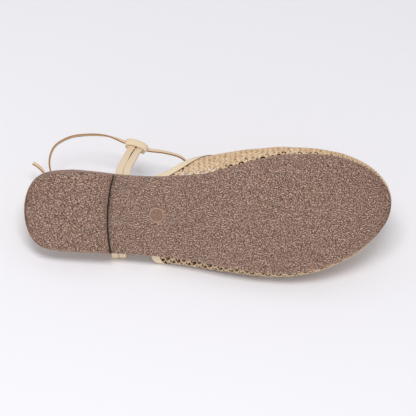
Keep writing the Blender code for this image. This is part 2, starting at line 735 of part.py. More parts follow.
def main():
    for old in list(bpy.data.objects):
        bpy.data.objects.remove(old)
    parts = bpy.data.collections.new("braided_sandal")
    bpy.context.scene.collection.children.link(parts)
    rubber = principled("brown_rubber", (147, 122, 110), 0.75)
    leather = principled("beige_leather", (232, 214, 186), 0.55)
    footbed = principled("footbed_leather", (214, 190, 156), 0.6)
    raffia = principled("woven_raffia", (214, 184, 140), 0.8)

    edge = outline()
    outsole_rims = ((0.0, OUTSOLE_RIM, 1), (OUTSOLE_THICK, OUTSOLE_TOP_RIM, 1))
    outsole = slab(edge, OUTSOLE_THICK, outsole_rims, tread_height)
    heel_lift = slab(heel_edge(), HEEL_LIFT, ((0.0, OUTSOLE_RIM, 1),), lambda along: 0.0)
    wall_foot = FEATHER_INSET + STRIP_RELIEF + WALL
    insole_rims = ((INSOLE_THICK, INSOLE_RIM, 2),)
    insole_edge = inset(edge, wall_foot + GAP)
    insole = slab(insole_edge, INSOLE_THICK, insole_rims, lambda along: outsole_top(along) + GAP)
    made = (
        ("outsole", outsole, rubber),
        ("heel_lift", heel_lift, rubber),
        ("insole", insole, footbed),
        ("woven_vamp", woven_vamp(), raffia),
        ("collar_binding", collar_binding(), leather),
        ("strap_medial", hitched_strap(MEDIAL_STRAP, MEDIAL_HITCH), leather),
        ("strap_lateral", hitched_strap(LATERAL_STRAP, LATERAL_HITCH), leather),
        ("lace_loop", lace_strip(LACE_LOOP), leather),
        ("lace_knot", lace_knot(), leather),
        ("lace_tail_long", lace_strip(LONG_TAIL), leather),
        ("lace_tail_short", lace_strip(SHORT_TAIL), leather),
    )
    lay_down([new_object(name, bm, parts, material) for name, bm, material in made])


main()
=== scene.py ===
"""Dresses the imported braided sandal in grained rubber, woven raffia and leather.

Pieces are shaped in millimetres on the upright shoe, x from heel to toe, y to the lateral side and z up
from the tread. One turn then lays them on the floor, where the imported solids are.
"""

import math
from collections import namedtuple

import bmesh
import bpy
import numpy as np
from mathutils import Euler, Matrix, Vector, noise


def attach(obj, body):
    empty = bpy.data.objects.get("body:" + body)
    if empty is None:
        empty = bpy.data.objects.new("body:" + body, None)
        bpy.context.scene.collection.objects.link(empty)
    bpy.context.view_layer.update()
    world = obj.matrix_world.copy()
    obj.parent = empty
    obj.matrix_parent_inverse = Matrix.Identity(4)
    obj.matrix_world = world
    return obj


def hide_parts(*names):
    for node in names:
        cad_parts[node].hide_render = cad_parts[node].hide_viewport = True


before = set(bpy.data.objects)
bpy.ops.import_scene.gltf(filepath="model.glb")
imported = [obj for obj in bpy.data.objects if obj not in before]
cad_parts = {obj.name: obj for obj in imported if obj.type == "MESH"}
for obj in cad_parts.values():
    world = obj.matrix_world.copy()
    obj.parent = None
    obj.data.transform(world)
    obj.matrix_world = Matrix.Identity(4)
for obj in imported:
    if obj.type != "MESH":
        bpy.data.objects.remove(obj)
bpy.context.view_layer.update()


def table(kind, *rows):
    """Rows of numbers with the names of their columns."""
    return tuple(kind(*row) for row in rows)


MM = 0.001
GAP = 0.3  # left between pieces that touch
WELD = 1e-4  # points closer than this are one
CUT_WELD = 1e-3
SHARP_ABOVE = 40.0  # degrees between faces that are shaded as an edge
WEAVE_SHARP_ABOVE = 70.0
LAYERS = ("along", "across", "tone", "shade")  # stored at each vertex for the materials
SEED = 38

# The turn that lays the upright shoe on its lateral flank
LEAN_BACK = 41.95
TOE_UP = 5.3
LYING_AT = (-0.125923, -0.017499, 0.033128)
lying_turn = Euler((math.radians(-90 - LEAN_BACK), math.radians(-TOE_UP), 0.0))
lying = Matrix.Translation(LYING_AT) @ lying_turn.to_matrix().to_4x4() @ Matrix.Scale(MM, 4)

# Sole
SOLE_LENGTH = 250.0
OUTSOLE_THICK = 4.5
HEEL_LIFT = 5.0
HEEL_STEP = 0.5
BREAST_ALONG = 57.0
BREAST_ASIDE = 10.0
BREAST_BOW = 0.0043
BREAST_ROUND = 0.9
BREAST_SHADOW_BAND = 1.05 * BREAST_ROUND  # how far behind the breast the painted shadow of its step reaches
BOW_POWER = 3  # how soon the rows behind the breast lose its bow
CORNER_ROUNDS = 6
NARROWEST = 1e-6
INSOLE_THICK = 3.5
RIM_ROUND = 0.4
INSOLE_RIM_ROUND = 1.2
INSOLE_RIM_STEPS = 3
RIM_STEPS = 4
EDGE_STATIONS = 150
ANGLE_STEP = 1e-3
BEND_STEP = 5.0
TIP_BACK = 4.0
HEEL_SEAT_END = 55.0  # behind it the outsole is covered by the heel lift
TOE_ROWS_FROM = 246.0
HIDDEN_ROWS = 14
OUTSOLE_TOP_COLUMNS = 12
TIP_ROWS = 10

# Moulded grain of the tread: pebbles with furrows between
GRAIN_STEP = 0.42
OUTSOLE_COLUMNS = 178
HEEL_COLUMNS = 118
GRAIN_PITCH = 0.68  # half of a pebble and furrow
GRAIN_WARP = 0.5
WARP_LENGTH = 3  # in pitches
WARP_LAYER = 7.0  # keeps the warp apart from the pebbles in the noise
GRAIN_FINE = 0.8  # weight of the smaller pebbles among them
FINE_RATIO = 2.3  # how many times smaller those are
GRAIN_SPREAD = 0.5
GRAIN_DEEP = 0.34
GRAIN_FADE = 0.3  # the grain dies out this close to the rim
SIDE_TONE = 0.5
SIDE_GRAIN = 0.16

SoleSection = namedtuple("SoleSection", "along medial lateral")
SOLE_SECTIONS = table(
    SoleSection,
    (5.0, 18.7, 18.4),
    (12.0, 25.0, 24.6),
    (20.0, 27.2, 26.9),
    (32.0, 27.8, 28.2),
    (50.0, 26.0, 29.4),
    (72.0, 23.0, 30.9),
    (95.0, 21.8, 33.2),
    (120.0, 23.0, 37.4),
    (140.0, 27.4, 41.5),
    (160.0, 32.4, 44.8),
    (178.0, 35.2, 46.0),
    (196.0, 35.3, 44.0),
    (212.0, 33.2, 39.0),
    (228.0, 27.6, 31.0),
    (240.0, 19.8, 21.2),
    (247.0, 11.0, 11.8),
)
TreadHeight = namedtuple("TreadHeight", "along height")
TREAD_HEIGHTS = table(
    TreadHeight,
    (0.0, HEEL_LIFT + GAP),
    (66.0, HEEL_LIFT + GAP),
    (100.0, 4.4),
    (130.0, 1.2),
    (150.0, 0.0),
    (190.0, 0.0),
    (212.0, 1.1),
    (232.0, 3.6),
    (250.0, 7.0),
)

# Size mark: a plain raised ring on the tread
RING_AT = (90.0, 4.4)
RING_RADIUS = 4.7
RING_WIDTH = 1.0
RING_HEIGHT = 0.35
RING_CORNER = 0.2
RING_STATIONS = 48
RING_TONE = 0.83
RING_INSIDE = 0.62
RING_CALM = 0.62  # share of the grain that is smoothed out inside it

# Woven vamp
VampSection = namedtuple(
    "VampSection", "along crown ridge medial_over medial_belly lateral_over lateral_belly lateral_round"
)
VAMP_SECTIONS = table(
    VampSection,
    (85.0, 47.0, 1.0, 7.0, 18.0, 6.1, 8.0, 0.0),
    (120.0, 56.0, 1.0, 9.5, 20.0, 5.7, 8.0, 0.0),
    (145.0, 60.4, 1.5, 7.9, 16.0, 4.8, 9.0, 0.0),
    (165.0, 50.0, 1.2, 5.3, 12.0, 4.7, 10.0, 0.12),
    (185.0, 41.0, 1.0, 3.8, 10.0, 4.2, 10.0, 0.30),
    (208.0, 33.0, 1.0, 2.3, 9.0, 3.7, 9.0, 0.45),
)
RIDGE_END = 208.0
TOE_OVER = 1.4
TOE_STATIONS = 400
TOE_MARGIN = 1.0
MEDIAL_ROUND = 0.72
TOE_ROUND = 0.62
WALL = 2.0
STRIP_RELIEF = 0.7
FEATHER_INSET = 0.4
THROAT = 141.0
REAR_MEDIAL = 97.0
REAR_LATERAL = 91.0
COLLAR_POWER = 2.4
SLOPE_STEP = 0.01
PROFILE_STEPS = 24
TABLE_REAR = 80.0
SIDE_ROWS = 65
TOE_ROWS = 61
ARC_STEPS = 64

# Raffia: each strip of the weave is a pair of strands
STRIP_PITCH = 5.1
STRIP_FULL = 4.9
STRIP_OPEN = 1.9  # near the sole, where the strips stand apart
STRAND_THICK = 1.0
STRAND_STEP = 0.69
STRAND_FILL = 0.96  # of its half of the strip
STRAND_TONES = (0.3, 0.7)
WEAVE_MIDDLE = 1.6  # height of the weave's middle over the inner wall
WEAVE_RISE = 0.5
LOOSE_RISE = 0.3  # more near the sole
# Painted light: loose strands near the sole are made paler, for the lateral flank the lamps barely reach
LOOSE_PAINTED_LIGHT = 0.35
LOOSE_DIP = 0.9  # painted shade on a loose strand where it dips under another
WEAVE_FLAT = 1.0  # how long a strand stays up over its neighbour
WEAVE_ORIGIN = (166.0, 0.0)
SHEET_REACH = 156.0
# painted shade on strands this close ahead of the binding
COLLAR_SHADE = 0.5
TUCK = 3.0  # strands run this far under the binding
SHORTEST_STRAND = 3.0
HAND_LAID = 0.25  # how far a strand strays to either side
STRAY_LENGTH = 9.0
SPOT_TONE = 0.36  # spread of tone from one crossing to the next
FINE_STEP = 0.3
OpenBand = namedtuple("OpenBand", "open full")
MEDIAL_BAND = OpenBand(2.2, 6.0)  # strips are open below the first distance and full above the second
LATERAL_BAND = OpenBand(10.0, 14.5)
DIAGONAL = math.sqrt(0.5)
Family = namedtuple("Family", "heading aside")
FAMILIES = (
    Family(np.array([DIAGONAL, DIAGONAL]), np.array([-DIAGONAL, DIAGONAL])),
    Family(np.array([DIAGONAL, -DIAGONAL]), np.array([DIAGONAL, DIAGONAL])),
)
StrandPoint = namedtuple("StrandPoint", "across lift hidden")
STRAND_SECTION = table(
    StrandPoint,  # a strand is painted dark with shade at its sides, and darkest underneath
    (-1.0, 0.0, 0.5),
    (-0.5, 0.5, 0.0),
    (0.5, 0.5, 0.0),
    (1.0, 0.0, 0.5),
    (0.0, -0.5, 1.0),
)

# Collar binding
BINDING_WIDTH = 5.0
BINDING_PROUD = 0.4
BINDING_FADE = 6
BINDING_STATIONS = 141
BINDING_ROUND = 1.1
BINDING_ROUND_STEPS = 4
BINDING_LIP = 0.9  # how far its cut edge lies over the weave
BindingPoint = namedtuple("BindingPoint", "behind outer shift raw")
BINDING_SECTION = table(
    BindingPoint,  # from the lining round its cut edge over the weave, which is painted dark as shade, and back over a creased line
    (BINDING_WIDTH / 2, False, 0.0, 0.0),
    (GAP, False, 0.3, 0.0),
    (GAP, True, -0.42, 0.0),
    (-BINDING_LIP, True, -0.42, 1.0),
    (-BINDING_LIP, True, -0.1, 1.0),
    (GAP + 0.2, True, 0.05, 0.0),
    (GAP + 0.9, True, 0.0, 0.0),
    (GAP + 1.1, True, -0.3, 0.0),
    (GAP + 1.4, True, 0.05, 0.0),
    (BINDING_WIDTH / 2, True, 0.15, 0.0),
)

# Leather straps
CORNER_STEPS = 3
STRAP_WIDTH = 5.0
STRAP_THICK = 1.6
STRAP_CORNER = 0.5
STRAP_SLIT = 0.18
SLIT_OPEN = 0.35  # more at the hitch
SLIT_POWER = 3
STRAP_STEP = 1.5
DYED_EDGE = 0.85  # keeps an outer edge's across below the slit's painted shade
SLIT_SHADE_EDGE = 1.08  # widens the dark edge colour along the slit: painted shade between the strands
SLIT_FROM = 0.4  # the slit's painted shade starts to show this far up the strap
SLIT_WHOLE = 0.75
HITCH_WIDTH = 14.0
HITCH_TALL = 5.6
HITCH_DEEP = 4.2
HITCH_POINTS = 36
HITCH_CORNER = 0.6
WRAP_WIDTH = 6.4
HITCH_BAR = 5.6
BAR_OVERHANG = 0.5
BAR_DROP = 1.6
BAR_ARCH = 1.6  # how much higher its middle lies than its ends
BAR_TURN = 0.46 * math.pi
BAR_FLATNESS = 0.4
BAR_STATIONS = 41
RoutePoint = namedtuple("RoutePoint", "x y z")
MEDIAL_STRAP = table(
    RoutePoint,
    (67.4, -22.4, 10.5),
    (67.6, -23.8, 14.0),
    (68.6, -27.0, 20.0),
    (71.5, -31.5, 30.0),
    (74.6, -35.8, 39.6),
    (76.2, -37.3, 43.7),
)
LATERAL_STRAP = table(
    RoutePoint,
    (63.5, 29.1, 10.6),
    (63.5, 31.2, 13.2),
    (63.5, 34.0, 17.2),
    (63.6, 28.5, 24.1),
    (63.8, 21.5, 32.6),
    (64.0, 14.5, 38.2),
    (64.0, 10.6, 40.4),
)

# Ankle lace: lean is how far its width tips towards the medial side, in degrees
LACE_WIDTH = 3.0
LACE_THICK = 1.2
LACE_CORNER = 0.3
LACE_STEP = 2.0
KNOT = (25.0, -1.0, 47.5)
KNOT_SPREAD = 0.95
KNOT_RISE = 1.3
KNOT_STRAND = 2.4
KNOT_CORNER = 0.4
KNOT_STATIONS = 72
LacePoint = namedtuple("LacePoint", "x y z lean")
MEDIAL_HITCH = LacePoint(76.6, -39.0, 46.0, 48.0)
LATERAL_HITCH = LacePoint(64.0, 8.5, 42.0, 38.0)
LACE_LOOP = table(
    LacePoint,
    (28.4, 1.6, 46.9, 30.0),
    (33.0, 5.0, 46.0, 36.0),
    (41.0, 7.6, 44.2, 38.0),
    (52.0, 7.8, 42.6, 38.0),
    LATERAL_HITCH,
    (76.0, 9.2, 42.6, 38.0),
    (90.0, 8.6, 45.0, 30.0),
    (102.0, 4.5, 48.0, 20.0),
    (111.0, -3.5, 50.0, 10.0),
    (115.0, -13.0, 50.5, 5.0),
    (114.5, -22.0, 50.0, 12.0),
    (109.3, -29.4, 48.5, 20.0),
    (95.7, -34.6, 47.0, 25.0),
    (85.1, -36.4, 46.3, 35.0),
    MEDIAL_HITCH,
    (68.0, -42.6, 46.0, 30.0),
    (57.5, -46.6, 46.3, -8.0),
    (43.0, -47.8, 47.0, -24.0),
    (29.0, -45.6, 47.6, -24.0),
    (19.8, -39.8, 48.2, -20.0),
    (16.0, -29.5, 48.6, -20.0),
    (17.0, -21.5, 49.0, -10.0),
    (20.8, -13.5, 49.2, 6.0),
    (24.2, -5.2, 48.6, 10.0),
)
LONG_TAIL = table(
    LacePoint,
    (21.6, -3.4, 46.7, 10.0),
    (16.5, -10.0, 46.8, 0.0),
    (13.6, -17.0, 47.4, 0.0),
    (12.2, -21.6, 47.8, 25.0),
    (8.6, -26.2, 48.0, 35.0),
    (4.6, -29.0, 48.0, 35.0),
)
SHORT_TAIL = table(
    LacePoint,
    (29.0, -2.5, 46.6, 32.0),
    (34.0, -2.2, 48.0, 40.0),
    (41.0, -0.6, 49.6, 42.0),
    (48.0, 1.2, 51.0, 42.0),
    (55.0, 2.6, 52.0, 42.0),
    (60.0, 3.2, 52.2, 42.0),
)

# Patterns of the materials, their sizes in millimetres
WEAR_PATCH = 30.3
RUBBER_SPECK = 0.5  # coarser than real ones, which are too fine to show
SPECK_DEEP = 0.1
SCORE_WIDTH = 1.11
FIBRE_LENGTH = 12.5
FIBRES_ACROSS = 3.0  # in half a strand, so each is about 0.4 mm wide
FIBRE_SHIFT = 60.0  # gives strands of different tone different fibres
FIBRE_DEEP = 0.3
STREAK_SHARE = 0.45
PORE_PITCH = 0.8  # coarser than real pores, for the same reason
PORE_DEEP = 0.2
LEATHER_CLOUD = 16.7
PAPER_CLOUD = 333.0

# A Mix node for colours, and its sockets
MIX = {"kind": "ShaderNodeMix", "output": 2, "data_type": "RGBA"}
FACTOR = 0
FROM = 6
TO = 7

# Studio, in metres and watts
FLOOR_HALF = 4.0
FILL_STRENGTH = 0.585
LIGHT_AIM = (0.0, 0.0, 0.03)
Light = namedtuple("Light", "name place width depth power")
LIGHTS = (
    Light("overhead_softbox", (-0.15, -0.46, 1.33), 0.6, 0.4, 10.8),
    Light("front_fill", (0.0, -1.1, 0.14), 1.2, 0.2, 1.6),
)

# Camera at the photograph's angle, aimed at the middle of the sole
CAMERA_AZIMUTH = -7.29
CAMERA_ELEVATION = 48.39
CAMERA_ROLL = 7.65
CAMERA_DISTANCE = 1.6
CAMERA_LENS = 204.0
CAMERA_SENSOR = 36.0
CAMERA_FAR = 20.0
CAMERA_AIM = (-0.001319, -0.015517, 0.04298)

random = np.random.default_rng(SEED)


def cubic(low, rise, start, end, t):
    """The value at a share t of a cubic that starts at low, from its rise and its slopes at both ends."""
    return low + t * (start + t * (3 * rise - 2 * start - end + t * (start + end - 2 * rise)))


def curve_through(knots, values):
    """A smooth function through a table's column, which doesn't overshoot."""
    knots = np.array(knots, float)
    values = np.array(values, float)
    secants = np.diff(values) / np.diff(knots)
    before, after = secants[:-1], secants[1:]
    same_way = before * after > 0
    total = np.where(same_way, before + after, 1.0)
    inner = np.where(same_way, 2 * before * after / total, 0.0)
    slopes = np.concatenate(([secants[0]], inner, [secants[-1]]))

    def at(x):
        x = np.clip(x, knots[0], knots[-1])
        i = np.clip(np.searchsorted(knots, x) - 1, 0, len(knots) - 2)
        span = knots[i + 1] - knots[i]
        rise = values[i + 1] - values[i]
        return cubic(values[i], rise, slopes[i] * span, slopes[i + 1] * span, (x - knots[i]) / span)

    return at


def column(rows, name):
    return [getattr(row, name) for row in rows]


def sole_angle(along):
    """Stations by angle, so that the round ends of the outline have finite slopes."""
    return np.arccos(np.clip(1 - 2 * np.asarray(along, float) / SOLE_LENGTH, -1, 1))


def sole_along(angle):
    return SOLE_LENGTH / 2 * (1 - np.cos(angle))


def half_width_curve(side):
    angles = [0.0, *sole_angle(column(SOLE_SECTIONS, "along")), math.pi]
    return curve_through(angles, [0.0, *column(SOLE_SECTIONS, side), 0.0])


medial_width = half_width_curve("medial")
lateral_width = half_width_curve("lateral")
tread_height = curve_through(column(TREAD_HEIGHTS, "along"), column(TREAD_HEIGHTS, "height"))
vamp_curve = {
    name: curve_through(column(VAMP_SECTIONS, "along"), column(VAMP_SECTIONS, name))
    for name in VampSection._fields[1:]
}


def outsole_top(along):
    return tread_height(along) + OUTSOLE_THICK


def outline(stations):
    """The sole's edge as (x, y) rows, from the heel along the lateral side and back by the medial one."""
    angles = np.linspace(0, math.pi, stations + 1)
    along = sole_along(angles)
    lateral = np.stack((along, lateral_width(angles)), axis=1)
    medial = np.stack((along, -medial_width(angles)), axis=1)
    return np.concatenate((lateral, medial[-2:0:-1]))


def inset(edge, distance):
    """The outline moved inwards along its own normals."""
    tangent = np.roll(edge, -1, axis=0) - np.roll(edge, 1, axis=0)
    tangent /= np.linalg.norm(tangent, axis=1)[:, None]
    inward = np.stack((tangent[:, 1], -tangent[:, 0]), axis=1)
    return edge + inward * distance


# Materials


def linear(colour):
    """An sRGB hex colour as linear red, green, blue and alpha."""
    parts = [int(colour[i : i + 2], 16) / 255 for i in (1, 3, 5)]
    return (*(c / 12.92 if c <= 0.04045 else ((c + 0.055) / 1.055) ** 2.4 for c in parts), 1.0)


def add_node(tree, kind, output, inputs=None, **settings):
    """Adds a node with its settings, gives its inputs values or links, and returns one of its outputs."""
    node = tree.nodes.new(kind)
    for name, value in settings.items():
        setattr(node, name, value)
    for key, value in (inputs or {}).items():
        if isinstance(value, bpy.types.NodeSocket):
            tree.links.new(value, node.inputs[key])
        else:
            node.inputs[key].default_value = value
    return node.outputs[output]


def new_material(name, roughness, ior):
    """A Principled material, its tree and its shader."""
    material = bpy.data.materials.new(name)
    material.use_nodes = True
    tree = material.node_tree
    shader = tree.nodes["Principled BSDF"]
    shader.inputs["Roughness"].default_value = roughness
    shader.inputs["IOR"].default_value = ior
    return material, tree, shader


def moulded_rubber():
    """Moulded rubber: brown with a low sheen, its furrows painted dark as shade and its highest crests
    painted pale as glints.
    """
    material, tree, shader = new_material("moulded_rubber", roughness=0.36, ior=1.5)
    where = add_node(tree, "ShaderNodeTexCoord", "Object")
    tone = add_node(tree, "ShaderNodeAttribute", "Fac", attribute_name="tone")
    patch = add_node(tree, "ShaderNodeTexNoise", "Fac", {"Vector": where, "Scale": 1 / (WEAR_PATCH * MM)})
    speck = add_node(
        tree, "ShaderNodeTexNoise", "Fac", {"Vector": where, "Scale": 1 / (RUBBER_SPECK * MM), "Detail": 1.0}
    )
    # Furrows take dark colours as painted shade, crests lighter ones
    furrow = add_node(tree, **MIX, inputs={FACTOR: patch, FROM: linear("#2b1d17"), TO: linear("#3a2921")})
    crest = add_node(tree, **MIX, inputs={FACTOR: speck, FROM: linear("#916d59"), TO: linear("#b78f79")})
    grain = add_node(tree, **MIX, inputs={FACTOR: tone, FROM: furrow, TO: crest})
    # Painted glints: the highest crests are mixed towards a pale colour
    painted_glint = add_node(
        tree, "ShaderNodeMapRange", "Result",
        {"Value": tone, "From Min": 0.8, "From Max": 1.0, "To Max": 0.42},
    )
    glinted = add_node(tree, **MIX, inputs={FACTOR: painted_glint, FROM: grain, TO: linear("#e3cbbb")})
    bump = add_node(
        tree, "ShaderNodeBump", "Normal", {"Strength": 0.2, "Distance": SPECK_DEEP * MM, "Height": speck}
    )
    tree.links.new(glinted, shader.inputs["Base Color"])
    tree.links.new(bump, shader.inputs["Normal"])
    return material


def breast_shadow_rubber():
    """Painted shadow at the heel breast: rubber coloured almost black for the shade under its step, dull and
    faintly scored.
    """
    material, tree, shader = new_material("breast_shadow_rubber", roughness=0.9, ior=1.5)
    where = add_node(tree, "ShaderNodeTexCoord", "Object")
    score = add_node(tree, "ShaderNodeTexNoise", "Fac", {"Vector": where, "Scale": 1 / (SCORE_WIDTH * MM)})
    scored = add_node(tree, **MIX, inputs={FACTOR: score, FROM: linear("#17110f"), TO: linear("#2c231f")})
    tree.links.new(scored, shader.inputs["Base Color"])
    return material


def raffia():
    """Dried palm leaf: straw-coloured strands with fibres along them, paler on their crests, as painted
    shade darkens their sides, undersides, dips and ends beside the binding.
    """
    material, tree, shader = new_material("raffia", roughness=0.62, ior=1.45)
    along, across, tone, shade = (
        add_node(tree, "ShaderNodeAttribute", "Fac", attribute_name=name) for name in LAYERS
    )
    place = add_node(tree, "ShaderNodeCombineXYZ", "Vector", {"X": along, "Y": across, "Z": tone})
    stretched = add_node(
        tree, "ShaderNodeVectorMath", "Vector",
        {0: place, 1: (1 / FIBRE_LENGTH, FIBRES_ACROSS, FIBRE_SHIFT)}, operation="MULTIPLY",
    )
    fibre = add_node(
        tree, "ShaderNodeTexNoise", "Fac",
        {"Vector": stretched, "Scale": 1.0, "Detail": 3.0, "Roughness": 0.6},
    )
    sharp = add_node(
        tree, "ShaderNodeMapRange", "Result", {"Value": fibre, "From Min": 0.3, "From Max": 0.7}
    )
    strand = add_node(tree, **MIX, inputs={FACTOR: tone, FROM: linear("#d6a776"), TO: linear("#fce0ba")})
    streak = add_node(tree, **MIX, inputs={FACTOR: sharp, FROM: linear("#b08250"), TO: linear("#f6e4c4")})
    straw = add_node(tree, **MIX, inputs={FACTOR: STREAK_SHARE, FROM: strand, TO: streak})
    # Painted shade: the shade layer mixes strands towards dark brown
    shaded = add_node(tree, **MIX, inputs={FACTOR: shade, FROM: straw, TO: linear("#2b1c10")})
    bump = add_node(
        tree, "ShaderNodeBump", "Normal", {"Strength": 0.5, "Distance": FIBRE_DEEP * MM, "Height": sharp}
    )
    tree.links.new(shaded, shader.inputs["Base Color"])
    tree.links.new(bump, shader.inputs["Normal"])
    return material


def leather(name, face_low, face_high, edge, roughness):
    """Smooth calf leather: a satin face with a faint grain, and an edge colour: cut brown fibre on the lace,
    painted shade in the straps' slits and on the binding's lip.
    """
    material, tree, shader = new_material(name, roughness, ior=1.48)
    where = add_node(tree, "ShaderNodeTexCoord", "Object")
    pores = add_node(
        tree, "ShaderNodeTexVoronoi", "Distance",
        {"Vector": where, "Scale": 1 / (PORE_PITCH * MM)}, feature="SMOOTH_F1",
    )
    cloud = add_node(
        tree, "ShaderNodeTexNoise", "Fac",
        {"Vector": where, "Scale": 1 / (LEATHER_CLOUD * MM), "Detail": 4.0},
    )
    face = add_node(tree, **MIX, inputs={FACTOR: cloud, FROM: linear(face_low), TO: linear(face_high)})
    across = add_node(tree, "ShaderNodeAttribute", "Fac", attribute_name="across")
    away = add_node(tree, "ShaderNodeMath", "Value", {0: across}, operation="ABSOLUTE")
    cut = add_node(tree, "ShaderNodeMapRange", "Result", {"Value": away, "From Min": 0.9, "From Max": 0.99})
    edged = add_node(tree, **MIX, inputs={FACTOR: cut, FROM: face, TO: linear(edge)})
    bump = add_node(
        tree, "ShaderNodeBump", "Normal", {"Strength": 0.18, "Distance": PORE_DEEP * MM, "Height": pores}
    )
    tree.links.new(edged, shader.inputs["Base Color"])
    tree.links.new(bump, shader.inputs["Normal"])
    return material


def paper_floor():
    """Seamless studio paper: matte, pale and faintly cool."""
    material, tree, shader = new_material("paper_floor", roughness=0.9, ior=1.5)
    where = add_node(tree, "ShaderNodeTexCoord", "Object")
    cloud = add_node(tree, "ShaderNodeTexNoise", "Fac", {"Vector": where, "Scale": 1 / (PAPER_CLOUD * MM)})
    pale = add_node(tree, **MIX, inputs={FACTOR: cloud, FROM: linear("#efeef1"), TO: linear("#f1f0f3")})
    tree.links.new(pale, shader.inputs["Base Color"])
    return material


# Shapes


def add_object(name, data):
    made = bpy.data.objects.new(name, data)
    bpy.context.scene.collection.objects.link(made)
    return made


def new_piece(name, bm, materials, nodes=(), sharp_above=SHARP_ABOVE):
    """The finished bmesh as a piece of the shoe: laid down, smooth-shaded, riding on its only body."""
    bmesh.ops.recalc_face_normals(bm, faces=bm.faces)
    bm.transform(lying)
    mesh = bpy.data.meshes.new(name)
    bm.to_mesh(mesh)
    bm.free()
    for material in materials:
        mesh.materials.append(material)
    mesh.shade_smooth()
    mesh.set_sharp_from_angle(angle=math.radians(sharp_above))
    piece = add_object(name, mesh)
    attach(piece, "root")
    if nodes:
        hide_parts(*nodes)
    return piece


def sleeve(bm, rings, across=0.0, tone=0.5, shade=0.0, closed=False):
    """A tube through rings of points: a grid wrapped round them, for close_sleeves to weld and cap."""
    rings = np.concatenate((rings, rings[:, :1]), axis=1)
    if closed:
        rings = np.concatenate((rings, rings[:1]))
    count, around = rings.shape[0] - 1, rings.shape[1] - 1
    centres = rings[:, :-1].mean(axis=1)
    along = np.concatenate(([0], np.cumsum(np.linalg.norm(np.diff(centres, axis=0), axis=1))))
    drawn = [np.broadcast_to(values, (count + 1, around)) for values in (across, tone, shade)]
    stored = bm.verts.layers.float
    layers = [stored.get(name) or stored.new(name) for name in LAYERS]
    for vert in bmesh.ops.create_grid(bm, x_segments=count, y_segments=around, size=1.0)["verts"]:
        i = round((vert.co.x + 1) / 2 * count)
        j = round((vert.co.y + 1) / 2 * around)
        vert.co = rings[i, j]
        vert[layers[0]] = along[i]
        for layer, values in zip(layers[1:], drawn):
            vert[layer] = values[i, j % around]


def close_sleeves(bm):
    """Welds the seams of all sleeves and fills their open ends."""
    bmesh.ops.remove_doubles(bm, verts=bm.verts, dist=WELD)
    bmesh.ops.holes_fill(bm, edges=[e for e in bm.edges if e.is_boundary], sides=0)
    return bm


def one_sleeve(rings, **drawn):
    """A closed shape of a single sleeve."""
    bm = bmesh.new()
    sleeve(bm, rings, **drawn)
    return close_sleeves(bm)


def strip_section(width, thick, corner):
    """A flat strip's section with round corners: offsets across and up, and across as a share of half."""
    rows = []
    for quarter, (side, rise) in enumerate(((1, 1), (-1, 1), (-1, -1), (1, -1))):
        for turn in np.linspace(0, math.pi / 2, CORNER_STEPS):
            angle = turn + quarter * math.pi / 2
            rows.append((
                side * (width / 2 - corner) + corner * math.cos(angle),
                rise * (thick / 2 - corner) + corner * math.sin(angle),
            ))
    rows = np.array(rows)
    return rows, rows[:, 0] / (width / 2)


def swept(path, widths, section, closed=False):
    """Rings of a section along a path, its first axis near the given width directions."""
    path = np.asarray(path, float)
    if closed:
        ahead = np.roll(path, -1, axis=0) - np.roll(path, 1, axis=0)
    else:
        ahead = np.gradient(path, axis=0)
    ahead /= np.linalg.norm(ahead, axis=1, keepdims=True)
    across = widths - ahead * (widths * ahead).sum(axis=1, keepdims=True)
    across /= np.linalg.norm(across, axis=1, keepdims=True)
    up = np.cross(ahead, across)
    return path[:, None] + across[:, None] * section[None, :, :1] + up[:, None] * section[None, :, 1:]


def smooth_route(points, step):
    """Even points along a smooth curve through a route's points, in as many columns as they have."""
    points = np.array(points, float)
    chords = np.linalg.norm(np.diff(points[:, :3], axis=0), axis=1)
    knots = np.concatenate(([0], np.cumsum(chords)))
    slopes = np.gradient(points, knots, axis=0)
    count = max(int(round(knots[-1] / step)), 2)
    at = np.linspace(0, knots[-1], count + 1)
    i = np.clip(np.searchsorted(knots, at) - 1, 0, len(knots) - 2)
    span = (knots[i + 1] - knots[i])[:, None]
    share = (at[:, None] - knots[i][:, None]) / span
    return cubic(points[i], points[i + 1] - points[i], slopes[i] * span, slopes[i + 1] * span, share)


# Sole and footbed


def bent_footbed():
    """The footbed: a sheet cut to fit inside the vamp, its upper rim rounded, bent to lie on the sole."""
    bm = bmesh.new()
    edge = inset(outline(EDGE_STATIONS), FEATHER_INSET + STRIP_RELIEF + WALL + GAP)
    face = bm.faces.new([bm.verts.new((x, y, 0.0)) for x, y in edge])
    grown = bmesh.ops.extrude_face_region(bm, geom=[face], use_keep_orig=True)
    top = [item for item in grown["geom"] if isinstance(item, bmesh.types.BMVert)]
    bmesh.ops.translate(bm, vec=(0, 0, INSOLE_THICK), verts=top)
    bmesh.ops.recalc_face_normals(bm, faces=bm.faces)
    rim = [e for e in bm.edges if all(abs(v.co.z - INSOLE_THICK) < WELD for v in e.verts)]
    bmesh.ops.bevel(
        bm, geom=rim, offset=INSOLE_RIM_ROUND, offset_type="OFFSET", segments=INSOLE_RIM_STEPS,
        profile=0.5, affect="EDGES", clamp_overlap=True, material=-1,
    )
    for along in np.arange(BEND_STEP, SOLE_LENGTH, BEND_STEP):
        bmesh.ops.bisect_plane(
            bm, geom=[*bm.verts, *bm.edges, *bm.faces], dist=CUT_WELD,
            plane_co=(along, 0, 0), plane_no=(1, 0, 0),
        )
    bm.normal_update()
    for vert in bm.verts:
        vert.co.z += float(outsole_top(vert.co.x) + GAP)
    bmesh.ops.triangulate(bm, faces=bm.faces)
    return bm


